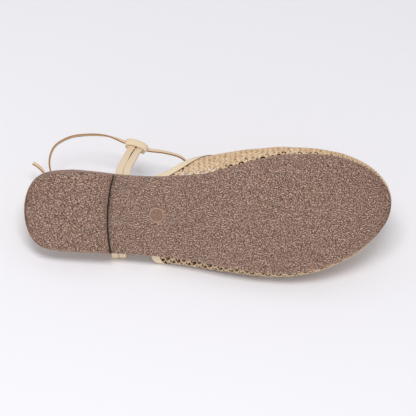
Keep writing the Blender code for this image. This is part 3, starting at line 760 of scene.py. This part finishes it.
def pebbles(x, y):
    """Moulded grain at points of the underside: 0 in a furrow, 1 on a crest."""
    size = 1 / GRAIN_PITCH
    values = []
    for across, aside in zip(x.ravel() * size, y.ravel() * size):
        bend = GRAIN_WARP * noise.noise((across / WARP_LENGTH, aside / WARP_LENGTH, WARP_LAYER))
        place = Vector((across + bend, aside - bend, 0.0))
        values.append(noise.noise(place) + GRAIN_FINE * noise.noise(place * FINE_RATIO))
    crest = np.clip(np.array(values).reshape(x.shape) / GRAIN_SPREAD + 0.5, 0, 1)
    calm = np.clip(RING_RADIUS + RING_WIDTH / 2 - np.hypot(x - RING_AT[0], y - RING_AT[1]), 0, 1)
    return crest + (RING_INSIDE - crest) * RING_CALM * calm


def edge_rows(angles, width, side):
    """Points of one side of the sole's outline, and the directions from them into the sole."""
    def at(angle):
        angle = np.clip(angle, 0, math.pi)
        return np.stack((sole_along(angle), side * width(angle)), axis=1)

    ahead = at(angles + ANGLE_STEP) - at(angles - ANGLE_STEP)
    ahead /= np.linalg.norm(ahead, axis=1, keepdims=True)
    inward = side * np.stack((ahead[:, 1], -ahead[:, 0]), axis=1)
    return at(angles), inward


def moulded_slab(medial, lateral, thick, columns, top_columns, lift=0.0):
    """A rubber slab through rows of its two edges, grained underneath, smooth on its sides and top."""
    turns = np.linspace(0, math.pi / 2, RIM_STEPS)
    insets, rises = RIM_ROUND * (1 - np.sin(turns)), RIM_ROUND * (1 - np.cos(turns))

    def side_points(edge, inside, height):
        points, inward = edge
        return np.column_stack((points + inward * inside, np.full(len(points), height)))

    share = np.linspace(0, 1, columns + 1)[None, :, None]
    left, right = side_points(medial, RIM_ROUND, 0.0), side_points(lateral, RIM_ROUND, 0.0)
    under = left[:, None] * (1 - share) + right[:, None] * share
    reach = np.linalg.norm(right - left, axis=1)[:, None] * np.minimum(share, 1 - share)[..., 0]
    fade = np.clip(reach / GRAIN_FADE, 0, 1)
    crest = pebbles(under[..., 0], under[..., 1])
    under[..., 2] = GRAIN_DEEP * (1 - crest) * fade
    wall = [*zip(insets[1:], rises[1:]), (0.0, thick - RIM_ROUND), (RIM_ROUND, thick)]
    climb = [side_points(lateral, *place)[:, None] for place in wall]
    fall = [side_points(medial, *place)[:, None] for place in reversed(wall)]
    back = np.linspace(0, 1, top_columns + 1)[None, 1:-1, None]
    top = climb[-1] * (1 - back) + fall[0] * back
    rings = np.concatenate((under, *climb, top, *fall), axis=1)
    tones = SIDE_TONE + SIDE_GRAIN * pebbles(rings[..., 0], rings[..., 1] + rings[..., 2])
    tones[:, : columns + 1] += (crest - tones[:, : columns + 1]) * fade
    rings[..., 2] = np.maximum(rings[..., 2], np.reshape(lift, (-1, 1)))
    return rings, tones


def rubber_outsole():
    """The full sole, finely grained from the heel breast to the toe."""
    hidden = np.linspace(0, float(sole_angle(HEEL_SEAT_END)), HIDDEN_ROWS)
    seen = sole_angle(np.arange(HEEL_SEAT_END + GRAIN_STEP, TOE_ROWS_FROM, GRAIN_STEP))
    tip = np.linspace(float(sole_angle(TOE_ROWS_FROM)), math.pi, TIP_ROWS)
    angles = np.concatenate((hidden, seen, tip))
    medial, lateral = edge_rows(angles, medial_width, -1), edge_rows(angles, lateral_width, 1)
    rings, tones = moulded_slab(medial, lateral, OUTSOLE_THICK, OUTSOLE_COLUMNS, OUTSOLE_TOP_COLUMNS)
    rings[..., 2] += tread_height(rings[..., 0])
    return one_sleeve(rings, tone=tones)


def breast_along(aside):
    return BREAST_ALONG + BREAST_BOW * (aside - BREAST_ASIDE) ** 2


def rubber_heel():
    """The heel lift, grained like the sole and cut off in a bow at its breast."""
    tip = np.linspace(0, float(sole_angle(TIP_BACK)), TIP_ROWS)
    rows = np.concatenate((tip, sole_angle(np.arange(TIP_BACK + GRAIN_STEP, BREAST_ALONG, GRAIN_STEP))))
    turns = np.linspace(0, math.pi / 2, RIM_STEPS)
    front = float(sole_angle(BREAST_ALONG))
    along = sole_along(np.concatenate((rows, np.full(RIM_STEPS + 1, front))))
    lift = np.concatenate((np.zeros(len(rows)), BREAST_ROUND * (1 - np.cos(turns)), [HEEL_LIFT]))
    back = np.concatenate((np.full(len(rows), BREAST_ROUND), BREAST_ROUND * (1 - np.sin(turns)), [0.0]))
    edges = []
    for width, side in ((medial_width, -1), (lateral_width, 1)):
        corner = side * (float(width(front)) - HEEL_STEP)
        for _ in range(CORNER_ROUNDS):
            corner = side * (float(width(sole_angle(breast_along(corner)))) - HEEL_STEP)
        stretch = breast_along(corner) / BREAST_ALONG
        points, inward = edge_rows(sole_angle(along * stretch), width, side)
        edges.append((points + inward * HEEL_STEP, inward))
    rings, tones = moulded_slab(*edges, HEEL_LIFT, HEEL_COLUMNS, HEEL_COLUMNS, lift)
    # Every row bows as the breast does, more towards the front
    medial, lateral = edges[0][0], edges[1][0]
    share = (along / BREAST_ALONG)[:, None] ** BOW_POWER
    middle = (rings[..., 1] - medial[:, 1:]) / np.maximum(lateral[:, 1:] - medial[:, 1:], NARROWEST)
    chord = medial[:, :1] * (1 - middle) + lateral[:, :1] * middle
    rings[..., 0] += share * (breast_along(rings[..., 1]) - chord) - share * back[:, None]
    bm = one_sleeve(rings, tone=tones)
    # Faces at the breast take the second material, painted near-black as the shadow of the heel's step
    for face in bm.faces:
        at = face.calc_center_median()
        if at.x > breast_along(at.y) - BREAST_SHADOW_BAND and at.z > 0:
            face.material_index = 1
    return bm


def size_ring():
    """A plain raised ring moulded into the tread."""
    turns = np.linspace(0, 2 * math.pi, RING_STATIONS, endpoint=False)
    out = np.stack((np.cos(turns), np.sin(turns), np.zeros(len(turns))), axis=1)
    path = np.array((*RING_AT, 0.0)) + RING_RADIUS * out
    path[:, 2] = tread_height(path[:, 0])
    section, _ = strip_section(RING_WIDTH, 2 * RING_HEIGHT, RING_CORNER)
    return one_sleeve(swept(path, out, section, closed=True), tone=RING_TONE, closed=True)


# The last: tables of the inner wall, one row for each half section from the ridge down to the sole


def wall_profile(reach, crown, over, belly, roundness):
    """One half section: arc lengths, distances from the ridge, heights."""
    foot = reach - FEATHER_INSET - STRIP_RELIEF - WALL
    widest = reach + over - STRIP_RELIEF - WALL
    top = crown - STRIP_RELIEF - WALL
    t = np.linspace(0, 1, PROFILE_STEPS)
    start, corner, end = (1 - t) ** 2, 2 * roundness * t * (1 - t), t**2
    total = start + corner + end
    upper_out = widest * (corner + end) / total
    upper_up = (top * (start + corner) + belly * end) / total
    drop = np.linspace(0, 1, PROFILE_STEPS // 2)[1:]
    out = np.concatenate((upper_out, widest - (widest - foot) * drop**2))
    up = np.concatenate((upper_up, belly * (1 - drop)))
    arc = np.concatenate(([0], np.cumsum(np.hypot(np.diff(out), np.diff(up)))))
    return arc, out, up


def side_profile(along, lateral):
    angle = sole_angle(along)
    ridge = vamp_curve["ridge"](along)
    reach = lateral_width(angle) - ridge if lateral else medial_width(angle) + ridge
    side = "lateral" if lateral else "medial"
    roundness = vamp_curve["lateral_round"](along) if lateral else MEDIAL_ROUND
    over, belly = vamp_curve[side + "_over"](along), vamp_curve[side + "_belly"](along)
    return wall_profile(reach, vamp_curve["crown"](along), over, belly, roundness)


toe_edge = outline(TOE_STATIONS)
toe_edge = toe_edge[toe_edge[:, 0] >= RIDGE_END - TOE_MARGIN]
toe_ridge = float(vamp_curve["ridge"](RIDGE_END))
toe_angles = np.arctan2(toe_edge[:, 1] - toe_ridge, toe_edge[:, 0] - RIDGE_END)
toe_order = np.argsort(toe_angles)
toe_reaches = np.hypot(toe_edge[:, 1] - toe_ridge, toe_edge[:, 0] - RIDGE_END)


def toe_profile(angle):
    ahead = math.cos(angle)
    side = "lateral" if angle > 0 else "medial"
    flank = vamp_curve["lateral_round"](RIDGE_END) if angle > 0 else MEDIAL_ROUND
    over = TOE_OVER + (vamp_curve[side + "_over"](RIDGE_END) - TOE_OVER) * (1 - ahead**2)
    belly = vamp_curve[side + "_belly"](RIDGE_END)
    reach = np.interp(angle, toe_angles[toe_order], toe_reaches[toe_order])
    roundness = flank + (TOE_ROUND - flank) * ahead
    return wall_profile(reach, vamp_curve["crown"](RIDGE_END), over, belly, roundness)


def half_section(profile, start, heading):
    """Evenly spaced points of one half section, and its whole arc."""
    arc, out, up = profile
    even = np.linspace(0, arc[-1], ARC_STEPS + 1)
    reach, height = np.interp(even, arc, out), np.interp(even, arc, up)
    across = np.array(start) + reach[:, None] * np.array(heading)
    spring = outsole_top(across[:, 0]) - outsole_top(start[0])
    seat = outsole_top(across[:, 0]) - spring * height / up[0]
    return np.column_stack((across, seat + GAP + height)), arc[-1]


def wall_tables():
    """Points, outward normals and girths of all half sections, from the medial rear round the toe."""
    stations = np.linspace(TABLE_REAR, RIDGE_END, SIDE_ROWS)
    sides = list(zip(stations, vamp_curve["ridge"](stations)))
    sections = [half_section(side_profile(x, False), (x, r), (0.0, -1.0)) for x, r in sides]
    for angle in np.linspace(-math.pi / 2, math.pi / 2, TOE_ROWS)[1:-1]:
        heading = (math.cos(angle), math.sin(angle))
        sections.append(half_section(toe_profile(angle), (RIDGE_END, toe_ridge), heading))
    sections += [half_section(side_profile(x, True), (x, r), (0.0, 1.0)) for x, r in reversed(sides)]
    points, girths = (np.array(values) for values in zip(*sections))
    normals = np.cross(np.gradient(points, axis=1), np.gradient(points, axis=0))
    normals[:, 0] = normals[:, 1]  # the toe's rows all start at one point
    inside = points[:, :1] * np.array([1.0, 1.0, 0.0])
    normals *= np.sign(((points - inside) * normals).sum(axis=2, keepdims=True))
    normals[..., 2] = np.maximum(normals[..., 2], 0.0)
    normals /= np.linalg.norm(normals, axis=2, keepdims=True)
    return points, normals, girths


wall_points, wall_normals, wall_girths = wall_tables()
LAST_ROW = len(wall_points) - 1


def side_row(along):
    """The medial half section at a station; the lateral one is as far from the last row."""
    return (along - TABLE_REAR) / (RIDGE_END - TABLE_REAR) * (SIDE_ROWS - 1)


def row_girth(row):
    return np.interp(row, np.arange(LAST_ROW + 1), wall_girths)


def wall_row(flat):
    """The half section that a point of the flat sheet lies on, its share of the way down, and the girth."""
    x, y = flat[..., 0], flat[..., 1]
    ahead = x - RIDGE_END
    beside = side_row(np.clip(x, TABLE_REAR, RIDGE_END))
    fan = SIDE_ROWS - 1 + (np.arctan2(y, ahead) / math.pi + 0.5) * (TOE_ROWS - 1)
    row = np.where(ahead > 0, fan, np.where(y < 0, beside, LAST_ROW - beside))
    away = np.where(ahead > 0, np.hypot(ahead, y), np.abs(y))
    girth = row_girth(row)
    return row, away / girth, girth


def on_last(flat, height):
    """Points of the flat sheet, drawn over the foot at some height above the inner wall."""
    row, share, _ = wall_row(flat)
    i = np.clip(row.astype(int), 0, LAST_ROW - 1)
    place = np.clip(share, 0.0, 1.0) * ARC_STEPS
    j = np.clip(place.astype(int), 0, ARC_STEPS - 1)
    s, t = (row - i)[..., None], (place - j)[..., None]

    def blended(grid):
        near = grid[i, j] * (1 - t) + grid[i, j + 1] * t
        far = grid[i + 1, j] * (1 - t) + grid[i + 1, j + 1] * t
        return near * (1 - s) + far * s

    inside = blended(wall_points)
    normal = blended(wall_normals)
    normal /= np.linalg.norm(normal, axis=-1, keepdims=True)
    point = inside + normal * np.asarray(height)[..., None]
    point[..., 2] += outsole_top(point[..., 0]) - outsole_top(inside[..., 0])
    return point


def girth_at(along, lateral):
    rows = side_row(np.asarray(along))
    return row_girth(np.where(lateral, LAST_ROW - rows, rows))


def collar_along(share):
    """The throat's line: x at a share of the way from the ridge down to the sole, lateral positive."""
    lateral = THROAT - (THROAT - REAR_LATERAL) * (1 - (1 - share**2) ** 2)
    medial = THROAT - (THROAT - REAR_MEDIAL) * np.abs(share) ** COLLAR_POWER
    return np.where(share > 0, lateral, medial)


def collar_flat(share, behind):
    """Points of the flat sheet at some distance behind its throat line."""
    along = collar_along(share)
    rise = collar_along(share + SLOPE_STEP) - collar_along(share - SLOPE_STEP)
    slope = rise / (2 * SLOPE_STEP) / girth_at(along, share > 0)
    along = along - behind * np.sqrt(1 + slope**2)
    return np.stack((along, share * girth_at(along, share > 0)), axis=-1)


# Weave and binding


def strip_width(share, girth, lateral):
    """Strips are narrow near the sole, which leaves a row or two of gaps, and close up above."""
    away = (1 - share) * girth
    opened = np.where(lateral, LATERAL_BAND.open, MEDIAL_BAND.open)
    full = np.where(lateral, LATERAL_BAND.full, MEDIAL_BAND.full)
    closing = np.clip((away - opened) / (full - opened), 0, 1)
    return STRIP_OPEN + (STRIP_FULL - STRIP_OPEN) * closing**2 * (3 - 2 * closing)


def strand_runs(origin, heading):
    """The stretches of one straight line of the flat sheet that lie on the vamp."""
    reach = np.arange(-SHEET_REACH, SHEET_REACH, FINE_STEP)
    flat = origin + reach[:, None] * heading
    _, share, _ = wall_row(flat)
    signed = np.where(flat[:, 1] > 0, share, -share)
    rear = np.maximum(collar_along(np.clip(signed, -1, 1)) - TUCK, TABLE_REAR)
    inside = (share < 1.0) & (flat[:, 0] > rear)
    changes = np.flatnonzero(np.diff(np.concatenate(([0], inside.astype(int), [0]))))
    for first, last in zip(changes[::2], changes[1::2]):
        if (last - first) * FINE_STEP > SHORTEST_STRAND:
            yield reach[first], reach[last - 1]


def lay_strand(bm, family, number):
    """One strand's runs over the vamp, each over one strand of the other family and under the next."""
    heading, aside = FAMILIES[family]
    across, lift, hidden = np.array(STRAND_SECTION).T
    side = 2 * (number % 2) - 1
    origin = np.array(WEAVE_ORIGIN) + aside * ((number // 2 + 0.5) * STRIP_PITCH)
    for low, high in strand_runs(origin, heading):
        steps = max(int((high - low) / STRAND_STEP), 2)
        reach = np.linspace(low, high, steps + 1)
        line = origin + reach[:, None] * heading
        _, share, girth = wall_row(line)
        width = strip_width(share, girth, line[:, 1] > 0)
        loose = (STRIP_FULL - width) / (STRIP_FULL - STRIP_OPEN)

        phase = (-1) ** family * 2 * reach / STRIP_PITCH - 0.5
        over = (-1) ** (number + family) * np.cos(math.pi * phase)
        over = np.tanh(WEAVE_FLAT * over) / math.tanh(WEAVE_FLAT)
        wave = (WEAVE_RISE + LOOSE_RISE * loose) * over - LOOSE_RISE * loose
        height = WEAVE_MIDDLE + wave[:, None] + lift * STRAND_THICK
        wander = reach / STRAY_LENGTH * 2 * math.pi + random.uniform(0, 2 * math.pi)
        stray = HAND_LAID * np.sin(wander)
        half_strand = width[:, None] / 4
        offset = stray[:, None] + (side + across * STRAND_FILL) * half_strand
        flat = line[:, None] + offset[..., None] * aside

        # Painted shade: dark where a loose strand dips under another, next to the binding, and at sides and
        # undersides
        ahead = line[:, 0] - collar_along(np.where(line[:, 1] > 0, share, -share))
        dip = LOOSE_DIP * loose * np.clip(-over, 0, 1)
        dark = np.maximum(dip, np.clip(1 - ahead / COLLAR_SHADE, 0, 1))
        sides = np.where(hidden < 1, hidden * (1 - loose[:, None]), 1.0)
        shade = np.maximum(sides, dark[:, None])
        crossings = np.floor(phase - phase.min()).astype(int)
        spots = random.uniform(-SPOT_TONE, SPOT_TONE, crossings.max() + 1)
        # Painted light: loose strands near the sole are made paler
        tone = random.uniform(*STRAND_TONES) + spots[crossings] + LOOSE_PAINTED_LIGHT * loose
        sleeve(bm, on_last(flat, height), across, tone[:, None], shade)


def woven_strands():
    """Two diagonal families of strands in pairs; near the sole each pair draws together."""
    bm = bmesh.new()
    pairs = int(SHEET_REACH / STRIP_PITCH)
    for family in range(len(FAMILIES)):
        for number in range(-2 * pairs, 2 * pairs):
            lay_strand(bm, family, number)
    return close_sleeves(bm)


def collar_band():
    """The leather band folded over the throat's edge, fuller than the weave and round at its free edge."""
    turns = np.linspace(0, math.pi / 2, BINDING_ROUND_STEPS)
    round_from = BINDING_WIDTH - BINDING_ROUND
    section = [
        BindingPoint(
            round_from + BINDING_ROUND * math.sin(turn), True, -BINDING_ROUND * (1 - math.cos(turn)), 0.0
        )
        for turn in turns
    ]
    section += [point._replace(outer=False, shift=-point.shift) for point in reversed(section)]
    section += BINDING_SECTION
    share = np.linspace(-1, 1, BINDING_STATIONS)
    full = WALL + STRIP_RELIEF + BINDING_PROUD
    low = BINDING_PROUD * (np.abs(share) ** BINDING_FADE - 1)
    rings = []
    for point in section:
        height = (full if point.outer else low) + point.shift
        rings.append(on_last(collar_flat(share, point.behind), np.broadcast_to(height, share.shape)))
    # The lip takes the binding's edge colour as painted shade
    return one_sleeve(np.stack(rings, axis=1), across=column(section, "raw"))


# Straps and lace


def hitch_frame(hitch):
    """Directions at a hitch: along the lace, up along its width, and out from the foot."""
    place = LACE_LOOP.index(hitch)
    along = np.array(LACE_LOOP[place + 1][:3]) - np.array(LACE_LOOP[place - 1][:3])
    along /= np.linalg.norm(along)
    lean = math.radians(hitch.lean)
    up = np.array([0.0, -math.sin(lean), math.cos(lean)])
    up -= along * up.dot(along)
    up /= np.linalg.norm(up)
    out = np.cross(along, up)
    if out[1] * hitch.y < 0:
        out = -out
    return along, up, out


def hitched_strap(route, hitch):
    """Two strands that end in wraps round the lace, and the bight that lies across their front."""
    bm = bmesh.new()
    path = smooth_route(route, STRAP_STEP)
    climb = np.linspace(0, 1, len(path))
    shift = ((STRAP_WIDTH + STRAP_SLIT + SLIT_OPEN * climb**SLIT_POWER) / 2)[:, None]
    section, share = strip_section(STRAP_WIDTH, STRAP_THICK, STRAP_CORNER)
    forward = np.array([1.0, 0.0, 0.0])
    # Painted shade: edges along the slit take the leather's dark edge colour, more towards the hitch
    cut = np.interp(climb, (SLIT_FROM, SLIT_WHOLE), (DYED_EDGE, SLIT_SHADE_EDGE))
    for side in (1, -1):
        shown = np.where(share * side > 0, share * DYED_EDGE, share * cut[:, None])
        sleeve(bm, swept(path + forward * side * shift, forward, section), shown)

    along, up, out = hitch_frame(hitch)
    centre = np.array(hitch[:3])
    turns = np.linspace(0, 2 * math.pi, HITCH_POINTS, endpoint=False)[:, None]
    loop = centre + up * (HITCH_TALL / 2 * np.cos(turns)) + out * (HITCH_DEEP / 2 * np.sin(turns))
    section, share = strip_section(WRAP_WIDTH, STRAP_THICK, HITCH_CORNER)
    for side in (-1, 1):
        wrap = loop + along * (side * (HITCH_WIDTH - WRAP_WIDTH) / 2)
        sleeve(bm, swept(wrap, along, section, closed=True), share * DYED_EDGE, closed=True)

    reach, front = HITCH_WIDTH / 2 + BAR_OVERHANG, HITCH_DEEP / 2 + STRAP_THICK
    angles = np.linspace(-BAR_TURN, BAR_TURN, BAR_STATIONS)[:, None]
    bar = centre + along * (reach * np.sin(angles)) + out * (front * np.cos(angles) ** BAR_FLATNESS)
    bar = bar + up * (BAR_ARCH * np.cos(angles) - BAR_DROP)
    section, share = strip_section(HITCH_BAR, STRAP_THICK, HITCH_CORNER)
    sleeve(bm, swept(bar, up, section), share * DYED_EDGE)
    return close_sleeves(bm)


def lace_line(points):
    """A stretch of the lace's route: its points and the directions of its width."""
    route = smooth_route(points, LACE_STEP)
    lean = np.radians(route[:, 3])
    widths = np.stack((np.zeros(len(lean)), -np.sin(lean), np.cos(lean)), axis=1)
    return route[:, :3], widths


def lace_strip(points):
    path, widths = lace_line(points)
    section, share = strip_section(LACE_WIDTH, LACE_THICK, LACE_CORNER)
    return one_sleeve(swept(path, widths, section), across=share)


def overhand_knot():
    """The tie: a trefoil of lace drawn tight."""
    turn = np.linspace(0, 2 * math.pi, KNOT_STATIONS, endpoint=False)
    path = np.array(KNOT) + np.stack((
        KNOT_SPREAD * (np.sin(turn) + 2 * np.sin(2 * turn)),
        KNOT_SPREAD * (np.cos(turn) - 2 * np.cos(2 * turn)),
        -KNOT_RISE * np.sin(3 * turn),
    ), axis=1)
    section, share = strip_section(KNOT_STRAND, LACE_THICK, KNOT_CORNER)
    rings = swept(path, np.array([0.0, 0.0, 1.0]), section, closed=True)
    return one_sleeve(rings, across=share, closed=True)


def dress_shoe():
    """Makes all pieces, in the order sole, weave, leather, lace."""
    rubber, cut = moulded_rubber(), breast_shadow_rubber()
    straw = raffia()
    # The edge colours of the straps and the binding are painted shade: along the straps' slits and under the
    # binding's lip
    calf = leather("strap_calf", "#dec7a7", "#ebd6b9", "#3f2a1a", roughness=0.52)
    bound = leather("binding_calf", "#dfc9a9", "#ecdabf", "#6b4627", roughness=0.5)
    thong = leather("lace_calf", "#d9c09e", "#e6d0b0", "#a0703c", roughness=0.55)
    footbed = leather("footbed_calf", "#cdb08a", "#dcc4a0", "#cdb08a", roughness=0.58)

    new_piece("rubber_outsole", rubber_outsole(), (rubber,), ("outsole",))
    # The heel's second material is painted shadow at its breast
    new_piece("rubber_heel", rubber_heel(), (rubber, cut), ("heel_lift",))
    new_piece("size_ring", size_ring(), (rubber,))
    new_piece("leather_footbed", bent_footbed(), (footbed,), ("insole",))

    weave = woven_strands()
    new_piece("raffia_weave", weave, (straw,), ("woven_vamp",), WEAVE_SHARP_ABOVE)
    new_piece("leather_binding", collar_band(), (bound,), ("collar_binding",))
    medial = hitched_strap(MEDIAL_STRAP, MEDIAL_HITCH)
    new_piece("medial_strap", medial, (calf,), ("strap_medial",))
    lateral = hitched_strap(LATERAL_STRAP, LATERAL_HITCH)
    new_piece("lateral_strap", lateral, (calf,), ("strap_lateral",))

    loop = new_piece("ankle_lace", lace_strip(LACE_LOOP), (thong,), ("lace_loop",))
    tie = new_piece("lace_tie", overhand_knot(), (thong,), ("lace_knot",))
    tail = new_piece("lace_end", lace_strip(LONG_TAIL), (thong,), ("lace_tail_long",))
    short_end = lace_strip(SHORT_TAIL)
    short = new_piece("lace_end_short", short_end, (thong,), ("lace_tail_short",))


def studio():
    """A pale paper floor, a softbox overhead, a low fill in front and a camera at the photo's angle."""
    bm = bmesh.new()
    bmesh.ops.create_grid(bm, x_segments=1, y_segments=1, size=FLOOR_HALF)
    mesh = bpy.data.meshes.new("paper_floor")
    bm.to_mesh(mesh)
    bm.free()
    mesh.materials.append(paper_floor())
    floor = add_object("paper_floor", mesh)

    world = bpy.data.worlds.new("studio_fill")
    bpy.context.scene.world = world
    world.use_nodes = True
    fill = world.node_tree.nodes["Background"]
    fill.inputs["Color"].default_value = linear("#f6f6fa")
    fill.inputs["Strength"].default_value = FILL_STRENGTH
    for light in LIGHTS:
        lamp = bpy.data.lights.new(light.name, "AREA")
        lamp.shape = "RECTANGLE"
        lamp.size = light.width
        lamp.size_y = light.depth
        lamp.energy = light.power
        box = add_object(light.name, lamp)
        box.location = light.place
        box.rotation_euler = (Vector(LIGHT_AIM) - box.location).to_track_quat("-Z", "Y").to_euler()

    view = bpy.data.cameras.new("photo_camera")
    view.lens = CAMERA_LENS
    view.sensor_width = CAMERA_SENSOR
    view.clip_end = CAMERA_FAR
    camera = add_object("photo_camera", view)
    azimuth, elevation = math.radians(CAMERA_AZIMUTH), math.radians(CAMERA_ELEVATION)
    level = math.cos(elevation)
    back = Vector((math.sin(azimuth) * level, -math.cos(azimuth) * level, math.sin(elevation)))
    camera.location = Vector(CAMERA_AIM) + back * CAMERA_DISTANCE
    roll = Matrix.Rotation(math.radians(CAMERA_ROLL), 3, "Z")
    camera.rotation_euler = ((-back).to_track_quat("-Z", "Y").to_matrix() @ roll).to_euler()
    bpy.context.scene.camera = camera
    bpy.context.scene.view_settings.view_transform = "Standard"


studio()
dress_shoe()
